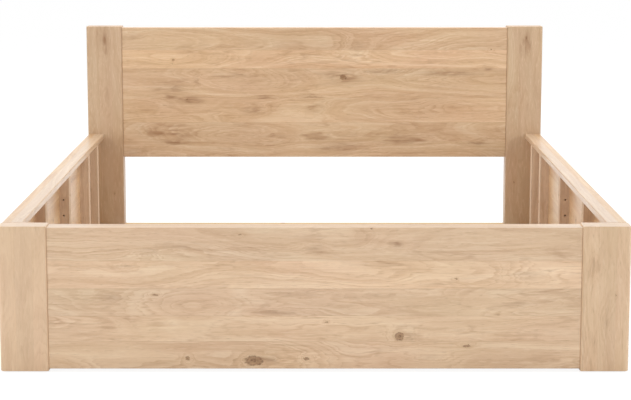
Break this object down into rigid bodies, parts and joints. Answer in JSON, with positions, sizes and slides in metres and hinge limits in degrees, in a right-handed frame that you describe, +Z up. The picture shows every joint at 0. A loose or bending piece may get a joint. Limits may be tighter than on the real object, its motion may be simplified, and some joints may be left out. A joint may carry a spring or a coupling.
{
  "type": "bed frame",
  "caption": "Wooden double bed frame with a high panelled headboard, a low footboard and thick-edged sides, open inside for a mattress, with low cleats and a centre beam.",
  "frame": {"origin": "on the floor under the middle of the bed", "axes": "+Z up; +Y along the bed towards the head end; +X across the bed, to the right seen from the foot"},
  "size_m": [1.94, 2.146, 0.919],
  "materials": {
    "oak_post": "pale oak, upright grain, matt oiled",
    "oak_panel": "pale oak, edge-glued staves, matt oiled",
    "oak_batten": "planed oak, matt oiled",
    "pine_support": "planed pine, bare",
    "beech_dowel": "turned beech, bare",
    "zinc_steel": "zinc-plated steel",
    "black_nylon": "moulded nylon",
    "grey_felt": "pressed wool felt"
  },
  "bodies": {
    "frame": {"beam_hanger_foot": "zinc_steel", "beam_hanger_head": "zinc_steel", "centre_beam": "pine_support", "centre_foot_insert": "zinc_steel", "cleat_screws": "zinc_steel", "fitting_screws": "zinc_steel", "foot_post_left": "oak_post", "foot_post_right": "oak_post", "footboard_batten_left": "oak_batten", "footboard_batten_middle": "oak_batten", "footboard_batten_right": "oak_batten", "footboard_bottom_strip": "oak_batten", "footboard_dowels": "beech_dowel", "footboard_panel": "oak_panel", "footboard_strip_dowels": "beech_dowel", "footboard_top_strip": "oak_batten", "hanger_screws": "zinc_steel", "head_low_rail": "pine_support", "head_post_left": "oak_post", "head_post_right": "oak_post", "headboard_batten_left": "oak_batten", "headboard_batten_middle": "oak_batten", "headboard_batten_right": "oak_batten", "headboard_bottom_strip": "oak_batten", "headboard_dowels": "beech_dowel", "headboard_panel": "oak_panel", "headboard_screws": "zinc_steel", "headboard_top_strip": "oak_batten", "low_rail_dowels": "beech_dowel", "post_glides": "grey_felt", "post_slot_plates": "zinc_steel", "rail_hook_plates": "zinc_steel", "side_batten_1_left": "oak_batten", "side_batten_1_right": "oak_batten", "side_batten_2_left": "oak_batten", "side_batten_2_right": "oak_batten", "side_batten_3_left": "oak_batten", "side_batten_3_right": "oak_batten", "side_batten_4_left": "oak_batten", "side_batten_4_right": "oak_batten", "side_bottom_strip_left": "oak_batten", "side_bottom_strip_right": "oak_batten", "side_cleat_left": "pine_support", "side_cleat_right": "pine_support", "side_dowels": "beech_dowel", "side_panel_left": "oak_panel", "side_panel_right": "oak_panel", "side_top_strip_left": "oak_batten", "side_top_strip_right": "oak_batten"},
    "centre_foot": {"centre_foot_pad": "black_nylon", "centre_foot_stem": "zinc_steel"}
  },
  "joints": [
    {"name": "centre_foot_level", "type": "slide", "parent": "frame", "child": "centre_foot", "axis": [0, 0, 1], "range_m": [0, 0.01]}
  ]
}
